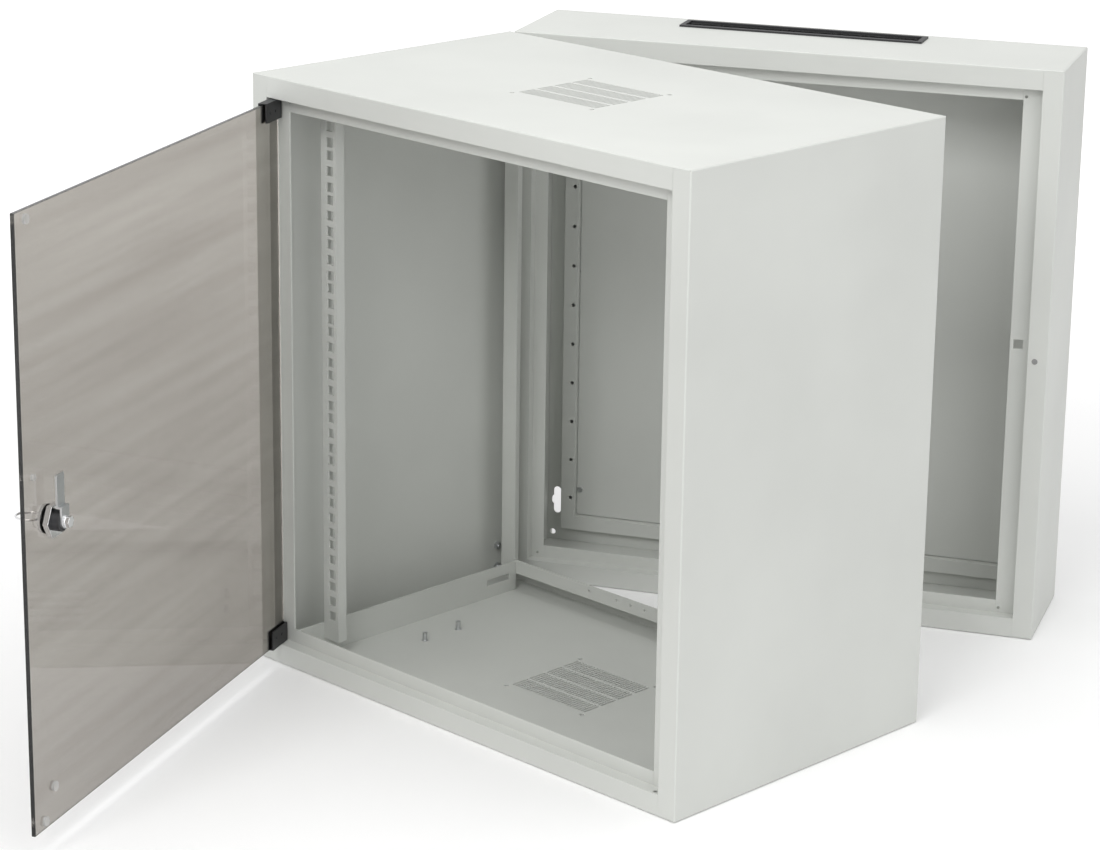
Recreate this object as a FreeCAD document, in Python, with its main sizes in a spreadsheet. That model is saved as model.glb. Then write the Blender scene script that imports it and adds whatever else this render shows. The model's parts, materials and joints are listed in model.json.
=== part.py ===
import FreeCAD, Part
import math
import os
import re

# A two-section wall rack cabinet with 12 rack units, in millimetres.
# The shallow wall section is fixed to the wall. The deep front section swings on it about a vertical
# hinge line on the left, and carries the 19 inch rails and a frameless glass door.
# Frame: X to the right, Y towards the wall, Z up. The origin is on the wall plane, at the middle of the
# cabinet's lower edge. Each piece is drawn with both sections and the door closed, and its Placement
# then swings it open.

SIZES = [
    # overall
    ("cab_width", 575), ("cab_height", 600), ("wall_depth", 142), ("front_depth", 347),
    ("section_gap", 1), ("steel", 1.5),
    # folded frames round the openings
    ("flange", 21), ("lip", 18), ("wall_lip", 14), ("latch_lip", 21), ("lip_tall", 15),
     ("front_fold", 15), ("rear_fold", 24),
    ("bend", 1.4),
    # opening angles as shown
    ("swing_open", 26.8), ("door_open", 65),
    # swing hinge
    ("hinge_out", 3.3), ("hinge_back", 8), ("hinge_tall", 40), ("hinge_end", 7), ("knuckle_rad", 2.9),
    ("swing_pin_rad", 1.5), ("running_gap", 0.05), ("leaf_long", 27), ("leaf_bolt_rad", 2.5),
    ("leaf_bolt_in", 8), ("leaf_bolt_back", 14), ("wall_bolt_back", 21), ("arm_gap", 0.3),
    # rack rails
    ("rack_unit", 44.45), ("rack_units", 12), ("rail_set_back", 50), ("first_hole", 43.8),
    ("hole_columns", 465.1), ("square_hole", 9.5), ("rail_inner", 9), ("rail_side", 11),
    ("rail_sheet", 2), ("rail_foot", 17), ("rail_screw_rad", 2.5),
    # depth runners that carry the rails
    ("runner_tall", 32), ("runner_in", 42), ("runner_foot", 18), ("runner_slot_long", 33),
    ("runner_slot_tall", 6.5),
    # ventilation field and fan holes
    ("fan_pitch", 105), ("fan_hole_rad", 2.4), ("slot_rows", 4), ("slot_columns", 26), ("slot_long", 20.5),
    ("slot_wide", 2.1), ("slot_pitch", 3.95), ("slot_bar", 3.5),
    # earthing studs on the floor
    ("stud_rad", 2.5), ("stud_tall", 9), ("stud_in", 88), ("stud_back", 147), ("stud_apart", 47),
    # wall section
    ("tray_in", 10), ("keyhole_in", 12.6), ("keyhole_up", 48), ("keyhole_long", 31),
    ("keyhole_arm_rad", 4.3), ("keyhole_eye_rad", 6.8), ("wall_hole_in", 7.6), ("wall_hole_up", 10),
    ("wall_hole_rad", 3.2), ("ring_side", 19.6), ("ring_low", 18), ("ring_wide", 15.5), ("ring_deep", 9),
    ("ring_hole_pitch", 44.5), ("ring_hole_rad", 2), ("ring_hole_in", 4.5), ("cover_screw_rad", 3),
    ("latch_square", 9.5), ("latch_up", 313), ("latch_in", 33.5), ("tie_hole_rad", 3.3),
    ("tie_rad", 3), ("tie_shank", 57), ("tie_back", 2), ("tie_knob_rad", 9), ("tie_knob_long", 10),
    ("bush_rad", 6), ("bush_long", 8),
    ("corner_hole_rad", 1.5),
    ("brush_long", 259), ("brush_wide", 35), ("brush_left", 152), ("brush_back", 15), ("brush_part", 6),
    # glass door
    ("glass", 4), ("door_clear", 2), ("door_right_clear", 12), ("door_inset", 3), ("pivot_in", 7),
    ("door_left", 2.2),
    ("pivot_rad", 2.3), ("clip_long", 34), ("clip_tall", 18.5), ("clip_sheet", 1.5),
    ("clip_pad", 1), ("clip_end", 0.5),
    ("glass_bevel", 0.5), ("end_plate", 0.8), ("bumper_in", 8),
    # cam lock and key
    ("lock_in", 44), ("lock_up", 300), ("lock_rad", 9.5), ("lock_collar_rad", 13),
    ("lock_nut_rad", 16.5), ("gasket", 1.5),
    ("cam_back", 20), ("cam_step", 4), ("cam_knee", 14),
    ("collar", 2.5), ("nut_tall", 5), ("plug_rad", 5), ("cam_square", 6.8), ("key_wide", 6),
    ("key_thick", 1.8), ("key_long", 14), ("key_stem", 3), ("bow_rad", 10.5), ("bow_wire", 1.1),
    ("cam_long", 42), ("cam_wide", 13), ("cam_sheet", 2), ("bumper_rad", 4.5), ("bumper_tall", 2.5),
]

doc = FreeCAD.newDocument("wall_rack_cabinet")
sheet = doc.addObject("Spreadsheet::Sheet", "sizes")
for row, (alias, number) in enumerate(SIZES, start=1):
    sheet.set("A%d" % row, alias)
    sheet.set("B%d" % row, str(number))
    sheet.setAlias("B%d" % row, alias)
doc.recompute()

ALIASES = re.compile(r"\b(" + "|".join(alias for alias, _ in SIZES) + r")\b")
X, Y, Z = (FreeCAD.Vector(1, 0, 0), FreeCAD.Vector(0, 1, 0), FreeCAD.Vector(0, 0, 1))
nodes = []          # every finished sub-part, in the order it is made
made = [0]          # a counter that keeps construction names apart


def size(alias):
    return float(sheet.get(alias))


def bound(text):
    """Turn a formula in plain size names into one that reads the spreadsheet."""
    return ALIASES.sub(r"sizes.\1", str(text))


def fresh(kind):
    made[0] += 1
    return "%s_%03d" % (kind, made[0])


def place(shape, where, turn=None):
    if turn is not None:
        shape.Placement.Rotation = FreeCAD.Rotation(*turn)
    for axis, text in zip("xyz", where):
        shape.setExpression(".Placement.Base." + axis, bound(text))
    return shape


def box(low, extent):
    """A block from its lowest corner and its three lengths, all given as formulas."""
    block = doc.addObject("Part::Box", fresh("block"))
    for name, text in zip(("Length", "Width", "Height"), extent):
        block.setExpression(name, bound(text))
    return place(block, low)


def rod(start, radius, length, axis=Z):
    """A cylinder that starts at a point and runs along an axis."""
    cylinder = doc.addObject("Part::Cylinder", fresh("rod"))
    cylinder.setExpression("Radius", bound(radius))
    cylinder.setExpression("Height", bound(length))
    turn = FreeCAD.Rotation(Z, axis)
    return place(cylinder, start, (turn.Axis, math.degrees(turn.Angle)))


def hexagon(start, radius, length, axis=Z):
    prism = doc.addObject("Part::Prism", fresh("hexagon"))
    prism.Polygon = 6
    prism.setExpression("Circumradius", bound(radius))
    prism.setExpression("Height", bound(length))
    turn = FreeCAD.Rotation(Z, axis)
    return place(prism, start, (turn.Axis, math.degrees(turn.Angle)))


def ring(centre, big, small, axis=Z):
    torus = doc.addObject("Part::Torus", fresh("ring"))
    torus.setExpression("Radius1", bound(big))
    torus.setExpression("Radius2", bound(small))
    turn = FreeCAD.Rotation(Z, axis)
    return place(torus, centre, (turn.Axis, math.degrees(turn.Angle)))


def fused(*shapes):
    if len(shapes) == 1:
        return shapes[0]
    fusion = doc.addObject("Part::MultiFuse", fresh("fusion"))
    fusion.Shapes = list(shapes)
    fusion.Refine = True
    return fusion


def less(base, *tools):
    cut = doc.addObject("Part::Cut", fresh("cut"))
    cut.Base = base
    cut.Tool = fused(*tools)
    return cut


def group(*shapes):
    """Several like solids that are one node."""
    compound = doc.addObject("Part::Compound", fresh("group"))
    compound.Links = list(shapes)
    return compound


def rounded(base, chosen, radius):
    """Round the straight edges whose two ends both pass the test."""
    doc.recompute()
    numbers = [
        index + 1 for index, edge in enumerate(base.Shape.Edges)
        if all(chosen(vertex.Point) for vertex in edge.Vertexes) and edge.Length > 4 * size("steel")
    ]
    fillet = doc.addObject("Part::Fillet", fresh("rounded"))
    fillet.Base = base
    fillet.Edges = [(number, size(radius), size(radius)) for number in numbers]
    return fillet


def near(value, target):
    return abs(value - target) < 1e-4


# Swinging the front section, and the door on it ------------------------------------------------------
half = size("cab_width") / 2
front_plane = -(size("wall_depth") + size("section_gap") + size("front_depth"))
rear_plane = front_plane + size("front_depth")
swing_axis = FreeCAD.Vector(-half - size("hinge_out"), -size("wall_depth") + size("hinge_back"), 0)
door_axis = FreeCAD.Vector(-half + size("flange") + size("pivot_in"),
                           front_plane + size("door_inset") + size("glass") / 2, 0)


def turned(centre, degrees):
    return FreeCAD.Placement(FreeCAD.Vector(), FreeCAD.Rotation(Z, degrees), centre)


AT_REST = {"wall": FreeCAD.Placement(), "front": turned(swing_axis, -size("swing_open"))}
AT_REST["door"] = AT_REST["front"].multiply(turned(door_axis, -size("door_open")))


def node(label, shape, body="wall"):
    """Name a finished sub-part and swing it to where it rests."""
    shape.Label = label
    shape.Placement = AT_REST[body].multiply(shape.Placement)
    nodes.append(shape)
    return shape


# Formulas that many pieces share
LEFT, RIGHT, TOP = "-cab_width/2", "cab_width/2", "cab_height"
FRONT = "-(wall_depth + section_gap + front_depth)"      # the front section's front plane
MEET = "-(wall_depth + section_gap)"                     # the front section's rear plane
WALL_FRONT = "-wall_depth"
OPEN_HALF = "(cab_width/2 - flange)"                     # half the clear width between flanges


# Folded sheet panels ---------------------------------------------------------------------------------
def side_panel(label, side, plane, depth, folds, body, holes=()):
    """A side wall with its folded frames. A fold is (plane, direction, depth, lip); direction is +1
    when the frame faces the front and its fold runs back into the cabinet."""
    outer = LEFT if side < 0 else "cab_width/2 - steel"
    parts = [box((outer, plane, 0), ("steel", depth, TOP))]
    for face, way, fold, lip in folds:
        frame_x = LEFT if side < 0 else "cab_width/2 - flange"
        return_x = "-cab_width/2 + flange - steel" if side < 0 else "cab_width/2 - flange"
        lip_x = return_x if side < 0 else "cab_width/2 - flange - (%s)" % lip
        face_y = face if way > 0 else "%s - steel" % face
        return_y = face if way > 0 else "%s - %s" % (face, fold)
        lip_y = "%s + %s - steel" % (face, fold) if way > 0 else "%s - %s" % (face, fold)
        parts.append(box((frame_x, face_y, "steel"), ("flange", "steel", "cab_height - 2*steel")))
        parts.append(box((return_x, return_y, "flange - steel"),
                         ("steel", fold, "cab_height - 2*(flange - steel)")))
        parts.append(box((lip_x, lip_y, "flange"),
                         ("(%s) + steel" % lip, "steel", "cab_height - 2*flange")))
    panel = rounded(fused(*parts), lambda point: near(abs(point.x), half), "bend")
    return node(label, less(panel, *holes) if holes else panel, body)


def flat_panel(label, top, plane, depth, folds, bends, body, holes=()):
    """A top or bottom sheet with its folded frames, fitted between the two side panels."""
    def level(low_text, tall_text):
        return ("cab_height - (%s) - (%s)" % (low_text, tall_text)) if top else low_text
    parts = [box(("-cab_width/2 + steel", plane, level("0", "steel")),
                 ("cab_width - 2*steel", depth, "steel"))]
    for face, way, fold, left_lip, right_lip in folds:
        face_y = face if way > 0 else "%s - steel" % face
        return_y = face if way > 0 else "%s - %s" % (face, fold)
        lip_y = "%s + %s - steel" % (face, fold) if way > 0 else "%s - %s" % (face, fold)
        parts.append(box(("-" + OPEN_HALF, face_y, level("0", "flange")),
                         ("2*" + OPEN_HALF, "steel", "flange")))
        parts.append(box(("-" + OPEN_HALF, return_y, level("flange - steel", "steel")),
                         ("2*" + OPEN_HALF, fold, "steel")))
        parts.append(box(("-%s + %s" % (OPEN_HALF, left_lip), lip_y, level("flange - steel", "lip_tall")),
                         ("2*%s - %s - %s" % (OPEN_HALF, left_lip, right_lip), "steel", "lip_tall")))
    outer = size("cab_height") if top else 0
    panel = fused(*parts)
    for bend in bends:
        panel = rounded(panel, lambda point: near(point.z, outer) and near(point.y, bend), "bend")
    return node(label, less(panel, *holes) if holes else panel, body)


def vent_field(level):
    """Four rows of narrow slots with a fan's screw holes at the corners."""
    middle = "(-(wall_depth + section_gap) - front_depth/2)"
    tools = []
    for row in range(int(size("slot_rows"))):
        start = "%s - slot_rows*slot_long/2 - (slot_rows - 1)*slot_bar/2 + %d*(slot_long + slot_bar)"
        for column in range(int(size("slot_columns"))):
            across = "(%d - (slot_columns - 1)/2)*slot_pitch - slot_wide/2" % column
            tools.append(box((across, start % (middle, row), "%s - steel" % level),
                             ("slot_wide", "slot_long", "3*steel")))
    for dx in (-1, 1):
        for dy in (-1, 1):
            tools.append(rod(("%d*fan_pitch/2" % dx, "%s + %d*fan_pitch/2" % (middle, dy),
                              "%s - steel" % level), "fan_hole_rad", "3*steel"))
    return tools


def pivot_holes(level):
    """The door's pivot hole on the left and the spare one for a right-hand door."""
    return [rod(("%d*(%s - pivot_in)" % (side, OPEN_HALF), "%s + door_inset + glass/2" % FRONT,
                 level), "pivot_rad + running_gap", "3*steel") for side in (-1, 1)]


def hinge_levels():
    """The lowest point of the lower and of the upper swing hinge."""
    return ("hinge_end", "cab_height - hinge_end - hinge_tall")


def bolt_line(plane, way):
    return "%s + wall_bolt_back" % plane if way > 0 else "%s - leaf_bolt_back" % plane


def leaf_bolt_points(plane, way):
    return [(bolt_line(plane, way), "%s + %s" % (low, up))
            for low in hinge_levels() for up in ("leaf_bolt_in", "hinge_tall - leaf_bolt_in")]


def bolt_holes(plane, way):
    return [rod(("-cab_width/2 - 1", y, z), "leaf_bolt_rad + running_gap", "steel + 2", X)
            for y, z in leaf_bolt_points(plane, way)]


FRONT_FOLDS = ((FRONT, 1, "front_fold", "lip"), (MEET, -1, "rear_fold", "latch_lip"))
LEFT_FOLDS = ((FRONT, 1, "front_fold", "lip"), (MEET, -1, "rear_fold", "lip"))
FLAT_FOLDS = ((FRONT, 1, "front_fold", "lip", "lip"), (MEET, -1, "rear_fold", "lip", "latch_lip"))
side_panel("front_left_panel", -1, FRONT, "front_depth", LEFT_FOLDS, "front",
           holes=bolt_holes(MEET, -1))
tie_hole = rod(("cab_width/2 - latch_in", "%s - rear_fold - steel" % MEET, "latch_up"),
               "tie_hole_rad", "3*steel", Y)
side_panel("front_right_panel", 1, FRONT, "front_depth", FRONT_FOLDS, "front", holes=[tie_hole])
lip_holes = [rod(("-cab_width/2 + %s" % across, "%s - rear_fold - steel" % MEET, "flange + lip_tall/2"),
                 "corner_hole_rad", "3*steel", Y)
             for across in ["152"] + ["%d + 20*%d" % (192, step) for step in range(11)]]
BOTH_BENDS = (front_plane, rear_plane)
flat_panel("front_top_panel", True, FRONT, "front_depth", FLAT_FOLDS, BOTH_BENDS, "front",
           holes=vent_field("cab_height - steel") + pivot_holes("cab_height - flange - steel"))
flat_panel("front_bottom_panel", False, FRONT, "front_depth", FLAT_FOLDS, BOTH_BENDS, "front",
           holes=vent_field("0") + pivot_holes("flange - 2*steel") + lip_holes)

# Wall section ----------------------------------------------------------------------------------------
WALL_FOLDS = ((WALL_FRONT, 1, "front_fold", "latch_lip"),)
WALL_LEFT_FOLDS = ((WALL_FRONT, 1, "front_fold", "wall_lip"),)
WALL_FLAT_FOLDS = ((WALL_FRONT, 1, "front_fold", "wall_lip", "latch_lip"),)
corner_z = ("flange + 5", "cab_height - flange - 10")


def frame_corner_holes(side):
    """Small holes in the corners of the wall section's inner frame."""
    across = "-%s + wall_lip/2" % OPEN_HALF if side < 0 else "%s - latch_lip + 3" % OPEN_HALF
    return [rod((across, "%s + front_fold - 2*steel" % WALL_FRONT, z), "corner_hole_rad", "3*steel", Y)
            for z in corner_z]


latch_window = box(("cab_width/2 - latch_in - latch_square/2", "%s + front_fold - 2*steel" % WALL_FRONT,
                    "latch_up - latch_square/2"), ("latch_square", "3*steel", "latch_square"))
side_panel("wall_left_panel", -1, WALL_FRONT, "wall_depth", WALL_LEFT_FOLDS, "wall",
           holes=bolt_holes(WALL_FRONT, 1) + frame_corner_holes(-1))
side_panel("wall_right_panel", 1, WALL_FRONT, "wall_depth", WALL_FOLDS, "wall",
           holes=[latch_window] + frame_corner_holes(1))

BRUSH_X, BRUSH_Y = "(-cab_width/2 + brush_left)", "(-brush_back - brush_wide/2)"


def brush_block(level, inset, tall):
    """A block over the brush entry, drawn in by a margin on all four sides."""
    return box(("%s + %s" % (BRUSH_X, inset), "%s - brush_wide/2 + %s" % (BRUSH_Y, inset), level),
               ("brush_long - 2*(%s)" % inset, "brush_wide - 2*(%s)" % inset, tall))


flat_panel("wall_top_panel", True, WALL_FRONT, "wall_depth", WALL_FLAT_FOLDS, (-size("wall_depth"),), "wall",
           holes=[brush_block("cab_height - 2*steel", "2", "3*steel")])
flat_panel("wall_bottom_panel", False, WALL_FRONT, "wall_depth", WALL_FLAT_FOLDS,
           (-size("wall_depth"),), "wall")

# The brush entry: a moulded holder with a slot, and the two rows of bristles that close it
holder = fused(brush_block("cab_height", "0", "2"), brush_block("cab_height - 5", "2.2", "5"))
node("brush_holder", less(holder, brush_block("cab_height - 6", "5", "10")))
parting = box((BRUSH_X, "%s - brush_part/2" % BRUSH_Y, "cab_height - 5"), ("brush_long", "brush_part", "7"))
node("brush_bristles", less(brush_block("cab_height - 4", "5", "5"), parting))

# Back tray: a pan whose sides run back to the wall, with wall-fixing holes and a large opening
INSIDE_W, INSIDE_H = "(cab_width - 2*steel)", "(cab_height - 2*steel)"
tray = less(box(("-%s/2" % INSIDE_W, "-(tray_in + steel)", "steel"),
                (INSIDE_W, "tray_in + steel", INSIDE_H)),
            box(("-%s/2 + steel" % INSIDE_W, "-tray_in", "2*steel"),
                ("%s - 2*steel" % INSIDE_W, "2*tray_in", "%s - 2*steel" % INSIDE_H)))
tray_cuts = [box(("-cab_width/2 + ring_side + ring_wide + 8", "-(tray_in + 2*steel)",
                  "ring_low + ring_wide + 8"),
                 ("cab_width - 2*(ring_side + ring_wide + 8)", "3*steel",
                  "cab_height - 2*(ring_low + ring_wide + 8)"))]
for side in (-1, 1):
    hole_x, key_x = "%d*(cab_width/2 - wall_hole_in)" % side, "%d*(cab_width/2 - keyhole_in)" % side
    for hole_z, key_z in (("wall_hole_up", "keyhole_up"),
                          ("cab_height - wall_hole_up", "cab_height - keyhole_up")):
        back = "-(tray_in + 2*steel)"
        tray_cuts.append(rod((hole_x, back, hole_z), "wall_hole_rad", "3*steel", Y))
        tray_cuts.append(rod((key_x, back, key_z), "keyhole_eye_rad", "3*steel", Y))
        arm = "keyhole_long/2 - keyhole_arm_rad"
        for way in (-1, 1):
            tray_cuts.append(rod((key_x, back, "%s + %d*(%s)" % (key_z, way, arm)),
                                 "keyhole_arm_rad", "3*steel", Y))
        tray_cuts.append(box(("%s - keyhole_arm_rad" % key_x, back, "%s - (%s)" % (key_z, arm)),
                             ("2*keyhole_arm_rad", "3*steel", "2*(%s)" % arm)))
node("back_tray", less(tray, *tray_cuts))

# Raised frame round the opening, with a row of holes, and the plain cover that closes it
RING_Y = "-(tray_in + steel + ring_deep)"
RING_W, RING_H = "(cab_width - 2*ring_side)", "(cab_height - 2*ring_low)"
frame_ring = less(box(("-%s/2" % RING_W, RING_Y, "ring_low"), (RING_W, "ring_deep", RING_H)),
                  box(("-%s/2 + ring_wide" % RING_W, "%s - 1" % RING_Y, "ring_low + ring_wide"),
                      ("%s - 2*ring_wide" % RING_W, "ring_deep + 2", "%s - 2*ring_wide" % RING_H)),
                  box(("-%s/2 + steel" % RING_W, "%s + steel" % RING_Y, "ring_low + steel"),
                      ("%s - 2*steel" % RING_W, "ring_deep", "%s - 2*steel" % RING_H)))
ring_inner = less(box(("-%s/2 + ring_wide - steel" % RING_W, "%s + steel" % RING_Y,
                       "ring_low + ring_wide - steel"),
                      ("%s - 2*(ring_wide - steel)" % RING_W, "ring_deep - steel",
                       "%s - 2*(ring_wide - steel)" % RING_H)),
                  box(("-%s/2 + ring_wide" % RING_W, RING_Y, "ring_low + ring_wide"),
                      ("%s - 2*ring_wide" % RING_W, "2*ring_deep", "%s - 2*ring_wide" % RING_H)))
ring_count = int((size("cab_height") - 2 * size("ring_low")) // size("ring_hole_pitch"))
ring_holes = []
for index in range(ring_count):
    hole_z = "cab_height/2 + (%d - %d/2)*ring_hole_pitch" % (index, ring_count - 1)
    for side in (-1, 1):
        ring_holes.append(rod(("%d*(%s/2 - ring_wide + ring_hole_in)" % (side, RING_W),
                               "%s - 1" % RING_Y, hole_z), "ring_hole_rad", "steel + 2", Y))
node("back_frame", less(fused(frame_ring, ring_inner), *ring_holes))
cover_gap = "ring_side + ring_wide + 1"
node("back_cover", box(("-cab_width/2 + %s" % cover_gap, "-(tray_in + 2*steel)", "ring_low + ring_wide + 1"),
                       ("cab_width - 2*(%s)" % cover_gap, "steel",
                        "cab_height - 2*(ring_low + ring_wide + 1)")))
cover_tabs = []
for side in (-1, 1):
    for z in ("ring_low + ring_wide + 30", "cab_height - ring_low - ring_wide - 30"):
        x = "%d*(cab_width/2 - ring_side - ring_wide - 4.6)" % side
        cover_tabs.append(rod((x, "-(tray_in + 2*steel + 2)", z), "cover_screw_rad", "2", Y))
node("cover_screws", group(*cover_tabs))
node("flange_bumper", rod(("cab_width/2 - flange/2 - 3", "%s - 0.6" % WALL_FRONT, "cab_height/2"),
                          "3", "0.6", Y))

# Swing hinges ----------------------------------------------------------------------------------------
HINGE_X, HINGE_Y = "(-cab_width/2 - hinge_out)", "(-wall_depth + hinge_back)"
THIRD = "(hinge_tall/3)"


def hinge_leaves(body):
    """The wall leaves carry the middle knuckle, the front leaves the outer two."""
    wall = body == "wall"
    leaves = []
    for low in hinge_levels():
        shelf = "-cab_width/2 - steel"
        if wall:
            parts = [box((shelf, "%s + knuckle_rad + 1" % HINGE_Y, low),
                         ("steel", "leaf_long - 9", "hinge_tall")),
                     box((shelf, HINGE_Y, "%s + %s + 0.3" % (low, THIRD)),
                         ("steel", "knuckle_rad + 2", "%s - 0.6" % THIRD)),
                     rod((HINGE_X, HINGE_Y, "%s + %s + 0.3" % (low, THIRD)), "knuckle_rad",
                         "%s - 0.6" % THIRD)]
            bore = "swing_pin_rad"
        else:
            parts = [box((shelf, "%s - leaf_long + 6" % MEET, low), ("steel", "leaf_long - 6", "hinge_tall"))]
            for up in ("0", "2*" + THIRD):
                parts.append(box((shelf + " - arm_gap", "%s - 1" % MEET, "%s + %s" % (low, up)),
                                 ("steel", "section_gap + hinge_back + 1", THIRD)))
                parts.append(rod((HINGE_X, HINGE_Y, "%s + %s" % (low, up)), "knuckle_rad", THIRD))
            bore = "swing_pin_rad + running_gap"
        holes = [rod((HINGE_X, HINGE_Y, "%s - 1" % low), bore, "hinge_tall + 2")]
        plane, way = (WALL_FRONT, 1) if wall else (MEET, -1)
        holes += bolt_holes_in_leaf(plane, way, low)
        leaves.append(less(fused(*parts), *holes))
    return group(*leaves)


def bolt_holes_in_leaf(plane, way, low):
    return [rod(("-cab_width/2 - steel - 1", bolt_line(plane, way), "%s + %s" % (low, up)),
                "leaf_bolt_rad + running_gap", "steel + 2", X)
            for up in ("leaf_bolt_in", "hinge_tall - leaf_bolt_in")]


def hinge_bolts(plane, way):
    """Low-headed bolts through a leaf and the side panel, each with a hexagon nut inside."""
    bolts = []
    for y, z in leaf_bolt_points(plane, way):
        bolts.append(fused(rod(("-cab_width/2 - steel - 1.2", y, z), "leaf_bolt_rad + 1.5", "1.2", X),
                           rod(("-cab_width/2 - steel - 1.2", y, z), "leaf_bolt_rad", "2*steel + 7", X),
                           hexagon(("-cab_width/2 + steel", y, z), "leaf_bolt_rad + 2", "4", X)))
    return group(*bolts)


node("hinge_wall_leaves", hinge_leaves("wall"))
node("hinge_pins", group(*[rod((HINGE_X, HINGE_Y, "%s - 1" % low), "swing_pin_rad", "hinge_tall + 2")
                           for low in hinge_levels()]))
node("hinge_wall_bolts", hinge_bolts(WALL_FRONT, 1))
node("hinge_front_leaves", hinge_leaves("front"), "front")
node("hinge_front_bolts", hinge_bolts(MEET, -1), "front")

# Depth runners and rack rails ------------------------------------------------------------------------
RUN_START, RUN_LONG = "(%s + front_fold)" % FRONT, "(front_depth - front_fold - rear_fold)"
RAIL_Y = "(%s + rail_set_back)" % FRONT
RAIL_SCREW_LEVELS = ("rail_foot + 9", "cab_height - rail_foot - 9")


def runner(side, top):
    """A depth runner: an upright web with a slot near its rear end, and a foot turned to the side."""
    web_x = "-cab_width/2 + runner_in - steel" if side < 0 else "cab_width/2 - runner_in"
    foot_x = "-cab_width/2 + runner_in - runner_foot" if side < 0 else "cab_width/2 - runner_in"
    web_z = "cab_height - steel - runner_tall" if top else "steel"
    foot_z = "cab_height - 2*steel" if top else "steel"
    slot_z = "%s + runner_tall/2 + 1" % web_z if not top else "%s + runner_tall/2 - 1" % web_z
    slot = box(("%s - 1" % web_x, "%s - rear_fold - 10 - runner_slot_long" % MEET,
                "%s - runner_slot_tall/2" % slot_z), ("steel + 2", "runner_slot_long", "runner_slot_tall"))
    level = RAIL_SCREW_LEVELS[1] if top else RAIL_SCREW_LEVELS[0]
    screw_hole = rod(("%s - 1" % web_x, "%s + rail_side/2 + 1" % RAIL_Y, level),
                     "rail_screw_rad + running_gap", "steel + 2", X)
    return less(fused(box((web_x, RUN_START, web_z), ("steel", RUN_LONG, "runner_tall")),
                      box((foot_x, RUN_START, foot_z), ("runner_foot", RUN_LONG, "steel"))),
                slot, screw_hole)


def square_holes(face_x):
    """Three square holes to each rack unit, at the standard unequal spacing."""
    holes = []
    for unit in range(int(size("rack_units"))):
        for step in ("0", "15.875", "31.75"):
            middle = "first_hole + %d*rack_unit + %s" % (unit, step)
            holes.append(box(("%s - square_hole/2" % face_x, "%s - 1" % RAIL_Y,
                              "%s - square_hole/2" % middle),
                             ("square_hole", "rail_sheet + 2", "square_hole")))
    return holes


RAIL_TALL = "(cab_height - 2*rail_foot)"


def rail(side):
    """A channel rail: a face with the mounting holes, an outer leg screwed to the runners' webs, and an
    inner leg. The outer leg lies on the web, so the face runs from there past the hole column."""
    column = "%d*hole_columns/2" % side
    edge = "(cab_width/2 - runner_in)"
    inner = "(hole_columns/2 - rail_inner)"
    face_x = "-" + edge if side < 0 else inner
    outer_leg = "-" + edge if side < 0 else "%s - rail_sheet" % edge
    inner_leg = "-%s - rail_sheet" % inner if side < 0 else inner
    leg_long = ("rail_sheet", "rail_side", RAIL_TALL)
    channel = fused(box((face_x, RAIL_Y, "rail_foot"), ("%s - %s" % (edge, inner), "rail_sheet", RAIL_TALL)),
                    box((outer_leg, RAIL_Y, "rail_foot"), leg_long),
                    box((inner_leg, RAIL_Y, "rail_foot"), leg_long))
    screw_holes = [rod(("%d*%s - 20" % (side, edge), "%s + rail_side/2 + 1" % RAIL_Y, z),
                       "rail_screw_rad + running_gap", "40", X) for z in RAIL_SCREW_LEVELS]
    return less(channel, *square_holes(column), *screw_holes)


def rail_screws():
    """The screws that clamp a rail's outer leg to a runner's web, each with its nut."""
    screws = []
    for side in (-1, 1):
        axis = X if side > 0 else -X
        head_x = "%d*(cab_width/2 - runner_in - rail_sheet - 2)" % side
        for z in RAIL_SCREW_LEVELS:
            y = "%s + rail_side/2 + 1" % RAIL_Y
            nut_x = "%d*(cab_width/2 - runner_in + steel)" % side
            screws.append(fused(rod((head_x, y, z), "rail_screw_rad + 1.5", "2", axis),
                                rod((head_x, y, z), "rail_screw_rad", "2 + rail_sheet + steel + 4", axis),
                                hexagon((nut_x, y, z), "rail_screw_rad + 1.8", "3", axis)))
    return group(*screws)


for side, word in ((-1, "left"), (1, "right")):
    node("rail_%s" % word, rail(side), "front")
    for top, where in ((False, "lower"), (True, "upper")):
        node("runner_%s_%s" % (where, word), runner(side, top), "front")
node("rail_screws", rail_screws(), "front")

studs = []
for along in ("0", "stud_apart"):
    where = ("-cab_width/2 + stud_in", "%s + stud_back + %s" % (FRONT, along), "steel")
    studs.append(fused(rod(where, "stud_rad", "stud_tall"), rod(where, "stud_rad + 1", "0.8")))
node("ground_studs", group(*studs), "front")

# Tie screw: drawn back in the front section's rear lip, it reaches through the wall section's window
TIE_X = "(cab_width/2 - latch_in)"
BUSH_Y = "(%s - rear_fold - bush_long)" % MEET
node("tie_bush", less(rod((TIE_X, BUSH_Y, "latch_up"), "bush_rad", "bush_long", Y),
                      rod((TIE_X, "%s - 1" % BUSH_Y, "latch_up"), "tie_rad + running_gap",
                          "bush_long + 2", Y)), "front")
TIE_Y = "(%s - tie_back - tie_shank)" % MEET
node("tie_screw", fused(rod((TIE_X, TIE_Y, "latch_up"), "tie_rad", "tie_shank", Y),
                        rod((TIE_X, "%s - tie_knob_long" % TIE_Y, "latch_up"), "tie_knob_rad",
                            "tie_knob_long", Y)), "front")

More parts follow.
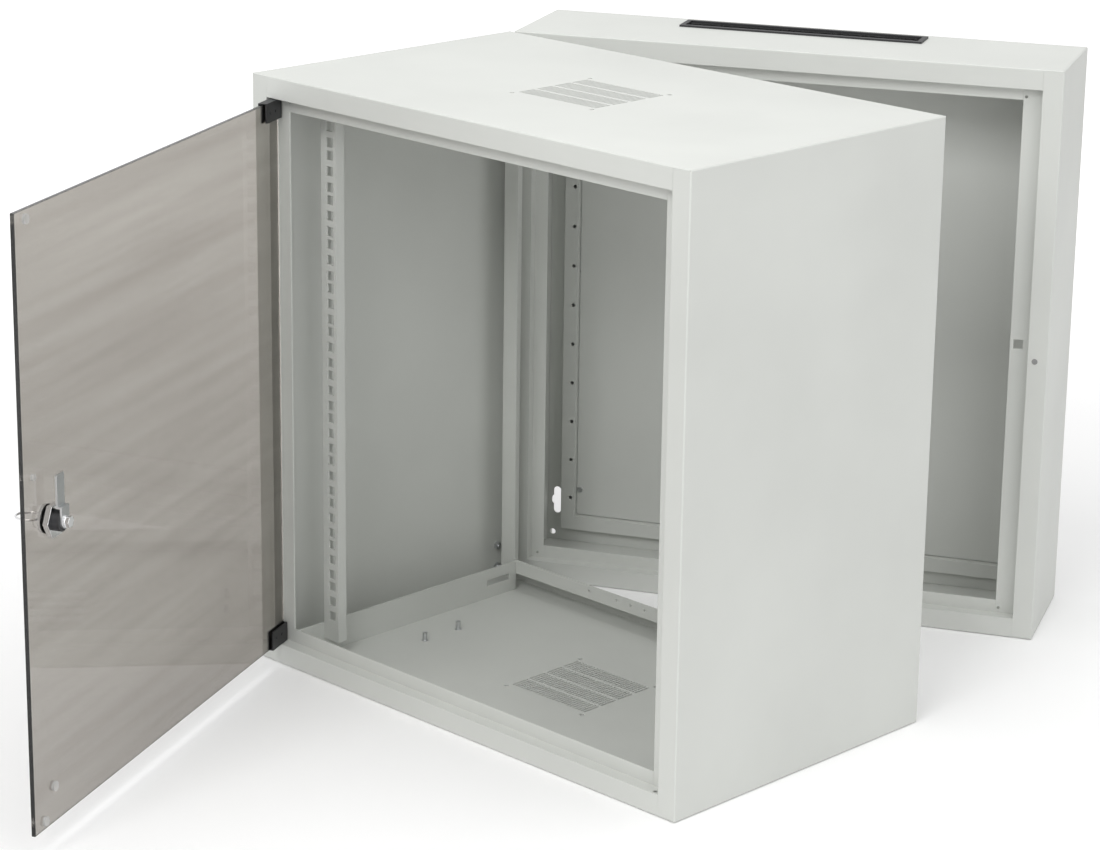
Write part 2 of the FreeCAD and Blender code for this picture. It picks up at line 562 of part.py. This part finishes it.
# Glass door ------------------------------------------------------------------------------------------
PIVOT_X = "(-cab_width/2 + flange + pivot_in)"
GLASS_Y = "(%s + door_inset)" % FRONT                    # the outer face of the glass
MID_Y = "(%s + glass/2)" % GLASS_Y
GLASS_X = "(%s - door_left)" % PIVOT_X
GLASS_RIGHT = "(%s - door_right_clear)" % OPEN_HALF
GLASS_LOW, GLASS_HIGH = "(flange + door_clear)", "(cab_height - flange - door_clear)"
LOCK_X = "(%s - lock_in)" % GLASS_RIGHT
INNER_Y = "(%s + glass)" % GLASS_Y                       # the inner face of the glass

pane = box((GLASS_X, GLASS_Y, GLASS_LOW),
           ("%s - %s" % (GLASS_RIGHT, GLASS_X), "glass", "%s - %s" % (GLASS_HIGH, GLASS_LOW)))
pane = rounded(pane, lambda point: True, "glass_bevel")
node("door_glass", less(pane, rod((LOCK_X, "%s - 1" % GLASS_Y, "lock_up"), "lock_rad + 0.5",
                                  "glass + 2", Y)), "door")


def hinge_clip(top):
    """A black channel clamped on the hinge-side corner of the glass, with a pivot pin."""
    thick = "(glass + 2*clip_pad + 2*clip_sheet)"
    outer_x = "%s - clip_pad - clip_sheet" % GLASS_X
    outer_y = "%s - clip_pad - clip_sheet" % GLASS_Y
    edge = "(%s + clip_end)" % GLASS_HIGH if top else "(%s - clip_end)" % GLASS_LOW
    low = "%s - clip_tall" % edge if top else "%s - end_plate" % edge
    body = box((outer_x, outer_y, low), ("clip_long", thick, "clip_tall + end_plate"))
    hollow_z = "%s - clip_tall - 1" % edge if top else edge
    hollow = box(("%s - clip_pad" % GLASS_X, "%s - clip_pad" % GLASS_Y, hollow_z),
                 ("clip_long", "glass + 2*clip_pad", "clip_tall + 1"))
    return less(body, hollow)


def pivot_pin(top):
    start = "%s + clip_end + end_plate" % GLASS_HIGH if top else "%s - clip_end - end_plate" % GLASS_LOW
    return rod((PIVOT_X, MID_Y, start), "pivot_rad", "door_clear + 5", Z if top else -Z)


def clip_pads(top):
    """The two soft pads that grip the glass inside a clip."""
    edge = "(%s)" % GLASS_HIGH if top else "(%s)" % GLASS_LOW
    low = "%s - clip_tall + 3" % edge if top else edge
    return [box((GLASS_X, y, low), ("clip_long - 6", "clip_pad", "clip_tall - 3"))
            for y in ("%s - clip_pad" % GLASS_Y, INNER_Y)]


def clip_screws(top):
    """The grub screws that tighten the inner leaf of a clip."""
    z = "%s - clip_tall/2" % GLASS_HIGH if top else "%s + clip_tall/2" % GLASS_LOW
    y = "%s + clip_pad + clip_sheet" % INNER_Y
    return [rod(("%s + clip_long*%s" % (GLASS_X, share), y, z), "1.6", "0.6", Y) for share in ("0.3", "0.65")]


for top, word in ((True, "upper"), (False, "lower")):
    node("hinge_clip_%s" % word, hinge_clip(top), "door")
node("door_pivot_pins", group(pivot_pin(True), pivot_pin(False)), "door")
node("clip_pads", group(*(clip_pads(True) + clip_pads(False))), "door")
node("clip_screws", group(*(clip_screws(True) + clip_screws(False))), "door")

# Clear bumpers on the inner face, near the free edge: distance in from it, level and radius
BUMPERS = (("17", "%s + bumper_in" % GLASS_LOW, "bumper_rad"),
           ("17", "%s - bumper_in" % GLASS_HIGH, "bumper_rad"),
           ("35", "57", "bumper_rad"), ("15", "346", "bumper_rad - 1.5"))
node("door_bumpers", group(*[rod(("%s - %s" % (GLASS_RIGHT, across), INNER_Y, z), radius, "bumper_tall", Y)
                             for across, z, radius in BUMPERS]), "door")

# Cam lock --------------------------------------------------------------------------------------------
def lock_rod(from_y, radius, length):
    return rod((LOCK_X, from_y, "lock_up"), radius, length, Y)


def lock_ring(from_y, radius, length, bore):
    return less(lock_rod(from_y, radius, length), lock_rod("%s - 1" % from_y, bore, "(%s) + 2" % length))


CAM_Y = "(%s + cam_back)" % FRONT                        # well behind the frame's lip
PLUG_BORE = "plug_rad + running_gap"
BEZEL_Y = "(%s - gasket - collar)" % GLASS_Y
node("lock_barrel", lock_ring(BEZEL_Y, "lock_rad", "%s - %s" % (CAM_Y, BEZEL_Y), PLUG_BORE), "door")
node("lock_bezel", lock_ring(BEZEL_Y, "lock_collar_rad", "collar", "lock_rad"), "door")
node("lock_gaskets", group(lock_ring("%s - gasket" % GLASS_Y, "lock_collar_rad", "gasket", "lock_rad"),
                           lock_ring(INNER_Y, "lock_collar_rad", "gasket", "lock_rad")), "door")
node("lock_nut", less(hexagon((LOCK_X, "%s + gasket" % INNER_Y, "lock_up"), "lock_nut_rad",
                              "nut_tall", Y), lock_rod(GLASS_Y, "lock_rad", "20")), "door")
key_slot = box(("%s - key_wide/2 - 0.3" % LOCK_X, "%s - gasket - collar - 1" % GLASS_Y,
                "lock_up - key_thick/2 - 0.3"), ("key_wide + 0.6", "key_long + 1", "key_thick + 0.6"))
plug = fused(lock_rod("%s - gasket - collar" % GLASS_Y, "plug_rad",
                      "%s - %s + gasket + collar" % (CAM_Y, GLASS_Y)),
             box(("%s - cam_square/2" % LOCK_X, CAM_Y, "lock_up - cam_square/2"),
                 ("cam_square", "cam_sheet", "cam_square")))
node("lock_plug", less(plug, key_slot), "door")
# The cam rises from the plug, steps towards the glass at a knee and runs on behind the lip's plane
CAM_X = "%s - cam_wide/2" % LOCK_X
KNEE_Z = "lock_up + cam_knee - cam_sheet"
cam_body = fused(lock_rod(CAM_Y, "cam_wide/2", "cam_sheet"),
                 box((CAM_X, CAM_Y, "lock_up"), ("cam_wide", "cam_sheet", "cam_knee")),
                 box((CAM_X, "%s - cam_step" % CAM_Y, KNEE_Z),
                     ("cam_wide", "cam_step + cam_sheet", "cam_sheet")),
                 box((CAM_X, "%s - cam_step" % CAM_Y, KNEE_Z),
                     ("cam_wide", "cam_sheet", "cam_long - cam_knee + cam_sheet")))
plug_square = box(("%s - cam_square/2" % LOCK_X, "%s - 1" % CAM_Y, "lock_up - cam_square/2"),
                  ("cam_square", "cam_sheet + 2", "cam_square"))
node("lock_cam", less(cam_body, plug_square), "door")
bolt_y = "%s + cam_sheet" % CAM_Y
node("cam_bolt", fused(lock_rod(bolt_y, "cam_wide/2 - 0.8", "1"),
                       hexagon((LOCK_X, "%s + 1" % bolt_y, "lock_up"), "5.2", "4", Y)), "door")
BOW_Y = "(%s - gasket - collar - key_stem - bow_rad)" % GLASS_Y
node("door_key", fused(box(("%s - key_wide/2" % LOCK_X, "%s - gasket - collar - key_stem" % GLASS_Y,
                            "lock_up - key_thick/2"), ("key_wide", "key_stem + key_long - 1", "key_thick")),
                       ring((LOCK_X, BOW_Y, "lock_up"), "bow_rad", "bow_wire")), "door")

# Export ----------------------------------------------------------------------------------------------
doc.recompute()
failed = [item.Label for item in doc.Objects if "Invalid" in item.State or "Error" in item.State]
if failed:
    raise SystemExit("failed objects: " + ", ".join(failed))
os.makedirs("parts", exist_ok=True)
for item in nodes:
    if item.Shape.isNull() or not item.Shape.isValid() or not item.Shape.Solids:
        raise SystemExit("bad shape: " + item.Label)
for item in nodes:
    item.Shape.exportStep(os.path.join("parts", item.Label + ".step"))
print(len(nodes), "sub-parts written")
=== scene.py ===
import json
import math
import random

import bmesh
import bpy
from mathutils import Matrix, Vector


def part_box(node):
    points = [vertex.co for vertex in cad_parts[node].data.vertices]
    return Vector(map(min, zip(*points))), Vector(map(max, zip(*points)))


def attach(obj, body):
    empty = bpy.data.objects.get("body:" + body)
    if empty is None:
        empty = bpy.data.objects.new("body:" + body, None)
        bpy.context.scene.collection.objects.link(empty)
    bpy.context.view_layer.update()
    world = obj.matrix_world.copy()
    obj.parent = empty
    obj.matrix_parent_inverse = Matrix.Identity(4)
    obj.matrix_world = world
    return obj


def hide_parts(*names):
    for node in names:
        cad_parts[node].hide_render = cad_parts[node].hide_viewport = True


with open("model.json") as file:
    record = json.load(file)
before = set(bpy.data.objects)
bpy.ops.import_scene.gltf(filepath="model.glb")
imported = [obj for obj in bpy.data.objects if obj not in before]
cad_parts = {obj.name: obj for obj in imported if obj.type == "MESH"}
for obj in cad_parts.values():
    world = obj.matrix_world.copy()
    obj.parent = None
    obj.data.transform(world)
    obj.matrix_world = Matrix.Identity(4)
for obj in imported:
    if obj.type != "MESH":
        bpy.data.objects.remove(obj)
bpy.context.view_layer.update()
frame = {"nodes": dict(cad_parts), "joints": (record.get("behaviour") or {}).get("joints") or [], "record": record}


# Materials -------------------------------------------------------------------------------------------
def shader(name, color, rough, metal=0.0):
    """A Principled material, returned with its node tree and shader node for further wiring."""
    material = bpy.data.materials.new(name)
    material.use_nodes = True
    tree = material.node_tree
    bsdf = tree.nodes["Principled BSDF"]
    bsdf.inputs["Base Color"].default_value = (*color, 1)
    bsdf.inputs["Roughness"].default_value = rough
    bsdf.inputs["Metallic"].default_value = metal
    return material, tree, bsdf


def noise(tree, scale, detail, stretch=(1, 1, 1)):
    """Noise in the piece's own coordinates, in metres, so it doesn't depend on the view."""
    coordinates = tree.nodes.new("ShaderNodeTexCoord")
    mapping = tree.nodes.new("ShaderNodeMapping")
    mapping.inputs["Scale"].default_value = stretch
    texture = tree.nodes.new("ShaderNodeTexNoise")
    texture.inputs["Scale"].default_value = scale
    texture.inputs["Detail"].default_value = detail
    tree.links.new(coordinates.outputs["Object"], mapping.inputs["Vector"])
    tree.links.new(mapping.outputs["Vector"], texture.inputs["Vector"])
    return texture


def blend_color(tree, bsdf, factor, dark, light, start=0.3, stop=0.7):
    ramp = tree.nodes.new("ShaderNodeValToRGB")
    ramp.color_ramp.elements[0].position, ramp.color_ramp.elements[1].position = start, stop
    ramp.color_ramp.elements[0].color = (*dark, 1)
    ramp.color_ramp.elements[1].color = (*light, 1)
    tree.links.new(factor, ramp.inputs["Fac"])
    tree.links.new(ramp.outputs["Color"], bsdf.inputs["Base Color"])


def vary_roughness(tree, bsdf, factor, smooth, rough):
    span = tree.nodes.new("ShaderNodeMapRange")
    span.inputs["To Min"].default_value, span.inputs["To Max"].default_value = smooth, rough
    tree.links.new(factor, span.inputs["Value"])
    tree.links.new(span.outputs["Result"], bsdf.inputs["Roughness"])


def relief(tree, bsdf, height, strength, distance, edge_radius):
    """Fine surface relief, with the sharp edges eased by a bevel."""
    bump = tree.nodes.new("ShaderNodeBump")
    bump.inputs["Strength"].default_value = strength
    bump.inputs["Distance"].default_value = distance
    tree.links.new(height, bump.inputs["Height"])
    bevel = tree.nodes.new("ShaderNodeBevel")
    bevel.inputs["Radius"].default_value = edge_radius
    tree.links.new(bevel.outputs["Normal"], bump.inputs["Normal"])
    tree.links.new(bump.outputs["Normal"], bsdf.inputs["Normal"])


def powder_coat(name, color):
    """Fine-textured powder paint: an orange-peel relief and a very slight cloudiness."""
    material, tree, bsdf = shader(name, color, 0.5)
    cloud, grain = noise(tree, 6, 3), noise(tree, 1400, 2)
    darker, lighter = [c * 0.96 for c in color], [min(1, c * 1.03) for c in color]
    blend_color(tree, bsdf, cloud.outputs["Fac"], darker, lighter)
    vary_roughness(tree, bsdf, grain.outputs["Fac"], 0.44, 0.56)
    relief(tree, bsdf, grain.outputs["Fac"], 0.18, 0.0002, 0.0008)
    return material


def plain_metal(name, color, smooth, rough, strength=0.05):
    material, tree, bsdf = shader(name, color, smooth, 1.0)
    grain = noise(tree, 500, 3)
    blend_color(tree, bsdf, grain.outputs["Fac"], [c * 0.93 for c in color], color)
    vary_roughness(tree, bsdf, grain.outputs["Fac"], smooth, rough)
    relief(tree, bsdf, grain.outputs["Fac"], strength, 0.0001, 0.0004)
    return material


def plain_plastic(name, color, smooth, rough, strength=0.1):
    material, tree, bsdf = shader(name, color, smooth)
    grain = noise(tree, 900, 2)
    blend_color(tree, bsdf, grain.outputs["Fac"], [c * 0.85 for c in color], color)
    vary_roughness(tree, bsdf, grain.outputs["Fac"], smooth, rough)
    relief(tree, bsdf, grain.outputs["Fac"], strength, 0.0002, 0.0004)
    return material


def tinted_glass(name):
    """Warm grey toughened glass with long, faint smears that run across the door."""
    fine_share, dark, light = 0.55, (0.346, 0.321, 0.293), (0.418, 0.396, 0.364)
    material, tree, bsdf = shader(name, (0.38, 0.36, 0.33), 0.02)
    broad, fine = noise(tree, 3, 3, (1, 0.5, 1.6)), noise(tree, 14, 5, (1, 0.16, 4.0))
    both = tree.nodes.new("ShaderNodeMix")
    both.data_type = "FLOAT"
    both.inputs[0].default_value = fine_share
    tree.links.new(broad.outputs["Fac"], both.inputs[2])
    tree.links.new(fine.outputs["Fac"], both.inputs[3])
    blend_color(tree, bsdf, both.outputs[0], dark, light, 0.38, 0.62)
    vary_roughness(tree, bsdf, fine.outputs["Fac"], 0.0, 0.05)
    bsdf.inputs["Transmission Weight"].default_value = 1.0
    bsdf.inputs["IOR"].default_value = 1.5
    return material


def clear_bumper(name):
    """Soft, slightly hazy clear plastic."""
    material, tree, bsdf = shader(name, (0.93, 0.93, 0.92), 0.12)
    haze = noise(tree, 300, 2)
    blend_color(tree, bsdf, haze.outputs["Fac"], (0.88, 0.88, 0.87), (0.96, 0.96, 0.95))
    vary_roughness(tree, bsdf, haze.outputs["Fac"], 0.08, 0.2)
    bsdf.inputs["Transmission Weight"].default_value = 0.7
    bsdf.inputs["IOR"].default_value = 1.4
    return material


PAINT = (0.648, 0.662, 0.632)
FINISHES = {
    "powder_coat": powder_coat("powder_coat", PAINT),
    "black_metal": plain_plastic("black_metal", (0.018, 0.018, 0.02), 0.35, 0.5),
    "black_plastic": plain_plastic("black_plastic", (0.02, 0.02, 0.022), 0.45, 0.6),
    "bristle": plain_plastic("bristle", (0.012, 0.012, 0.013), 0.7, 0.9, 0.6),
    "zinc_steel": plain_metal("zinc_steel", (0.62, 0.63, 0.64), 0.25, 0.42),
    "chrome": plain_metal("chrome", (0.78, 0.78, 0.79), 0.06, 0.14, strength=0.02),
    "tinted_glass": tinted_glass("tinted_glass"),
    "soft_rubber": plain_plastic("soft_rubber", (0.015, 0.015, 0.016), 0.6, 0.8, 0.2),
    "clear_bumper": clear_bumper("clear_bumper"),
}
slots = {entry["node"]: entry["material_slot"] for entry in frame["record"]["subparts"]}
for name, piece in frame["nodes"].items():
    piece.data.materials.clear()
    piece.data.materials.append(FINISHES[slots[name]])


# Detailed pieces -------------------------------------------------------------------------------------
def add_piece(name, vertices, faces, body, slot, replaced, smooth=True):
    """A mesh with its faces turned outward, which rides on a body and stands in for a CAD node."""
    mesh = bpy.data.meshes.new(name)
    mesh.from_pydata([tuple(v) for v in vertices], [], faces)
    outward = bmesh.new()
    outward.from_mesh(mesh)
    bmesh.ops.recalc_face_normals(outward, faces=outward.faces)
    outward.to_mesh(mesh)
    outward.free()
    mesh.polygons.foreach_set("use_smooth", [smooth] * len(mesh.polygons))
    mesh.validate()
    piece = bpy.data.objects.new(name, mesh)
    bpy.context.scene.collection.objects.link(piece)
    mesh.materials.append(FINISHES[slot])
    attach(piece, body)
    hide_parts(replaced)


def lathe(origin, axis, profile, steps, knurl=None):
    """Turn a closed profile of (along, radius) points about an axis. knurl(along, turn) trims a radius."""
    axis = Vector(axis).normalized()
    side = axis.orthogonal().normalized()
    other = axis.cross(side)
    vertices, faces, rings = [], [], len(profile)
    for step in range(steps):
        turn = 2 * math.pi * step / steps
        spoke = side * math.cos(turn) + other * math.sin(turn)
        for along, radius in profile:
            trimmed = radius - (knurl(along, step) if knurl else 0)
            vertices.append(Vector(origin) + axis * along + spoke * trimmed)
        for index in range(rings):
            after, following = (index + 1) % rings, (step + 1) % steps
            faces.append((step * rings + index, following * rings + index,
                          following * rings + after, step * rings + after))
    return vertices, faces


def middle(node):
    lowest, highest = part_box(node)
    return (Vector(lowest) + Vector(highest)) / 2


def along_and_out(node, origin, axis):
    """How far each corner of a node lies along an axis, and how far out from it."""
    offsets = [vertex.co - origin for vertex in frame["nodes"][node].data.vertices]
    spans = [offset.dot(axis) for offset in offsets]
    return spans, [(offset - axis * span).length for offset, span in zip(offsets, spans)]


joints = {joint["name"]: joint for joint in frame["joints"]}

# Lock barrel: a sleeve with ring grooves for its thread, sized by its CAD node, on the lock's axis
THREAD_PITCH, THREAD_DEPTH, BARREL_STEPS = 0.001, 0.00045, 64
lock_axis = Vector(joints["lock_turn"]["axis"]).normalized()
lock_at = Vector(joints["lock_turn"]["pos_m"])
spans, radii = along_and_out("lock_barrel", lock_at, lock_axis)
low, high, crest_radius, bore = min(spans), max(spans), max(radii), min(radii)
root_radius = crest_radius - THREAD_DEPTH
profile = [(low, bore), (high, bore), (high, root_radius)]
for index in range(int((high - low) / THREAD_PITCH) - 1, 0, -1):
    crest = low + THREAD_PITCH * (index + 0.5)
    profile += [(crest, crest_radius), (crest - THREAD_PITCH / 2, root_radius)]
profile.append((low, root_radius))
add_piece("threaded_barrel", *lathe(lock_at, lock_axis, profile, BARREL_STEPS), "door", "black_metal",
          "lock_barrel")

# Tie screw: a knurled knob with eased rims on a plain shank, on the axis of its bush
RIM, POINT, KNURL_DEPTH, KNURL_STEPS = 0.0008, 0.001, 0.0005, 96
CENTRE = 0.00002  # the profile stops this far short of the axis
NEAR_AXIS, SAME_RADIUS = 0.001, 1e-4
tie_axis = Vector(joints["tie_screw_slide"]["axis"]).normalized()
tie_at = middle("tie_bush")
spans, radii = along_and_out("tie_screw", tie_at, tie_axis)
low, high = min(spans), max(spans)
knob, shank = max(radii), min(radius for radius in radii if radius > NEAR_AXIS)
shoulder = max(span for span, radius in zip(spans, radii) if radius > knob - SAME_RADIUS)
profile = [(low, CENTRE), (low, knob - RIM), (low + RIM, knob), (shoulder - RIM, knob),
           (shoulder, knob - RIM), (shoulder, shank), (high - POINT, shank), (high, shank - POINT),
           (high, CENTRE)]


def knurled(along, step):
    return KNURL_DEPTH if step % 2 and low < along < shoulder - RIM / 2 else 0


add_piece("knurled_tie_screw", *lathe(tie_at, tie_axis, profile, KNURL_STEPS, knurled), "tie_screw",
          "zinc_steel", "tie_screw", smooth=False)

# Brush: two rows of fine fibres that grow from the holder's long sides towards the parting
random.seed(12)
bed_low, bed_high = (Vector(corner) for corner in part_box("brush_bristles"))
FIBRE, PARTING, ROWS, PER_ROW = 0.00028, 0.003, 3, 330
STRAY_X, STRAY_Y, STRAY_Z = 0.0006, 0.0012, 0.0004
centre_y = (bed_low.y + bed_high.y) / 2
vertices, faces = [], []
for side in (-1, 1):
    root_y = bed_low.y if side < 0 else bed_high.y
    for row in range(ROWS):
        root_z = bed_low.z + (row + 0.7) / (ROWS + 0.4) * (bed_high.z - bed_low.z)
        for index in range(PER_ROW):
            x = bed_low.x + (index + random.uniform(0.3, 0.7)) / PER_ROW * (bed_high.x - bed_low.x)
            tip_x = min(max(x + random.gauss(0, STRAY_X), bed_low.x + FIBRE), bed_high.x - FIBRE)
            tip_y = centre_y + side * (PARTING + random.uniform(0, STRAY_Y))
            tip_z = min(max(root_z + random.gauss(0, STRAY_Z), bed_low.z + FIBRE), bed_high.z - FIBRE)
            first = len(vertices)
            for corner in range(3):
                turn = 2 * math.pi * corner / 3
                across, rise = FIBRE * math.cos(turn), FIBRE * math.sin(turn)
                vertices += [(x + across, root_y, root_z + rise), (tip_x + across, tip_y, tip_z + rise)]
            for corner in range(3):
                here, after = first + 2 * corner, first + 2 * ((corner + 1) % 3)
                faces.append((here, after, after + 1, here + 1))
            faces += [(first, first + 4, first + 2), (first + 1, first + 3, first + 5)]
add_piece("brush_fibres", vertices, faces, "wall_section", "bristle", "brush_bristles", smooth=False)

# Camera ----------------------------------------------------------------------------------------------
scene = bpy.context.scene
scene.view_settings.view_transform = "Standard"
camera = bpy.data.cameras.new("camera")
camera.sensor_fit, camera.sensor_width = "HORIZONTAL", 36.0
camera.lens = 105.68
camera.shift_x, camera.shift_y = -0.04545, -0.02727
viewpoint = bpy.data.objects.new("camera", camera)
scene.collection.objects.link(viewpoint)
scene.camera = viewpoint
yaw, pitch, roll = -0.2976, -0.2894, 0.0182
ahead = Vector((math.sin(yaw) * math.cos(pitch), math.cos(yaw) * math.cos(pitch), math.sin(pitch)))
level = Vector((math.cos(yaw), -math.sin(yaw), 0))
upright = level.cross(ahead)
right = math.cos(roll) * level + math.sin(roll) * upright
up = -math.sin(roll) * level + math.cos(roll) * upright
turn = Matrix((right, up, -ahead)).transposed().to_4x4()
viewpoint.matrix_world = Matrix.Translation((0.7780, -3.2888, 1.1962)) @ turn


# Light and stage -------------------------------------------------------------------------------------
def area(name, where, aim, width, height, power):
    lamp = bpy.data.lights.new(name, "AREA")
    lamp.shape, lamp.size, lamp.size_y, lamp.energy = "RECTANGLE", width, height, power
    holder = bpy.data.objects.new(name, lamp)
    scene.collection.objects.link(holder)
    holder.location = where
    holder.rotation_euler = (Vector(aim) - Vector(where)).to_track_quat("-Z", "Y").to_euler()


area("overhead", (0.1, -0.7, 3.0), (0, -0.4, 0.3), 3.0, 2.5, 37)
area("from_right", (2.1, -2.4, 1.5), (0, -0.4, 0.3), 2.0, 2.0, 12)
area("from_front", (-0.5, -3.0, 2.3), (-0.05, -0.45, 0.0), 1.6, 1.2, 34)


def seen_directly(tree):
    """1 for rays from the camera and for those that reach here by a mirror or through glass, else 0."""
    ray = tree.nodes.new("ShaderNodeLightPath")
    total = ray.outputs["Is Camera Ray"]
    for kind in ("Is Glossy Ray", "Is Transmission Ray"):
        join = tree.nodes.new("ShaderNodeMath")
        join.operation = "MAXIMUM"
        tree.links.new(total, join.inputs[0])
        tree.links.new(ray.outputs[kind], join.inputs[1])
        total = join.outputs[0]
    return total


def strength_by_ray(tree, target, otherwise, direct):
    span = tree.nodes.new("ShaderNodeMapRange")
    span.inputs["To Min"].default_value, span.inputs["To Max"].default_value = otherwise, direct
    tree.links.new(seen_directly(tree), span.inputs["Value"])
    tree.links.new(span.outputs["Result"], target)


world = bpy.data.worlds.new("studio")
scene.world = world
world.use_nodes = True
background = world.node_tree.nodes["Background"]
background.inputs["Color"].default_value = (1, 1, 1, 1)
strength_by_ray(world.node_tree, background.inputs["Strength"], 0.55, 1.0)

# A plain pale floor. Its lift towards white is only for the rays that look at it, so shadows stay.
bpy.ops.mesh.primitive_plane_add(size=14, location=(0, -0.4, -0.0005))
floor = bpy.context.object
floor.name = "floor"
material, tree, bsdf = shader("floor", (0.9, 0.9, 0.9), 0.8)
bsdf.inputs["Emission Color"].default_value = (1, 1, 1, 1)
# The lift grows from NEAR to FAR, so the floor is white to the horizon and soft shadow near the object.
NEAR, FAR, LIFT_NEAR, LIFT_FAR = 0.7, 2.2, 0.1, 0.55
place = tree.nodes.new("ShaderNodeTexCoord")
away = tree.nodes.new("ShaderNodeVectorMath")
away.operation = "LENGTH"
reach = tree.nodes.new("ShaderNodeMapRange")
reach.inputs["From Min"].default_value, reach.inputs["From Max"].default_value = NEAR, FAR
reach.inputs["To Min"].default_value, reach.inputs["To Max"].default_value = LIFT_NEAR, LIFT_FAR
lift = tree.nodes.new("ShaderNodeMath")
lift.operation = "MULTIPLY"
tree.links.new(place.outputs["Object"], away.inputs[0])
tree.links.new(away.outputs["Value"], reach.inputs["Value"])
tree.links.new(reach.outputs["Result"], lift.inputs[0])
tree.links.new(seen_directly(tree), lift.inputs[1])
tree.links.new(lift.outputs[0], bsdf.inputs["Emission Strength"])
floor.data.materials.append(material)
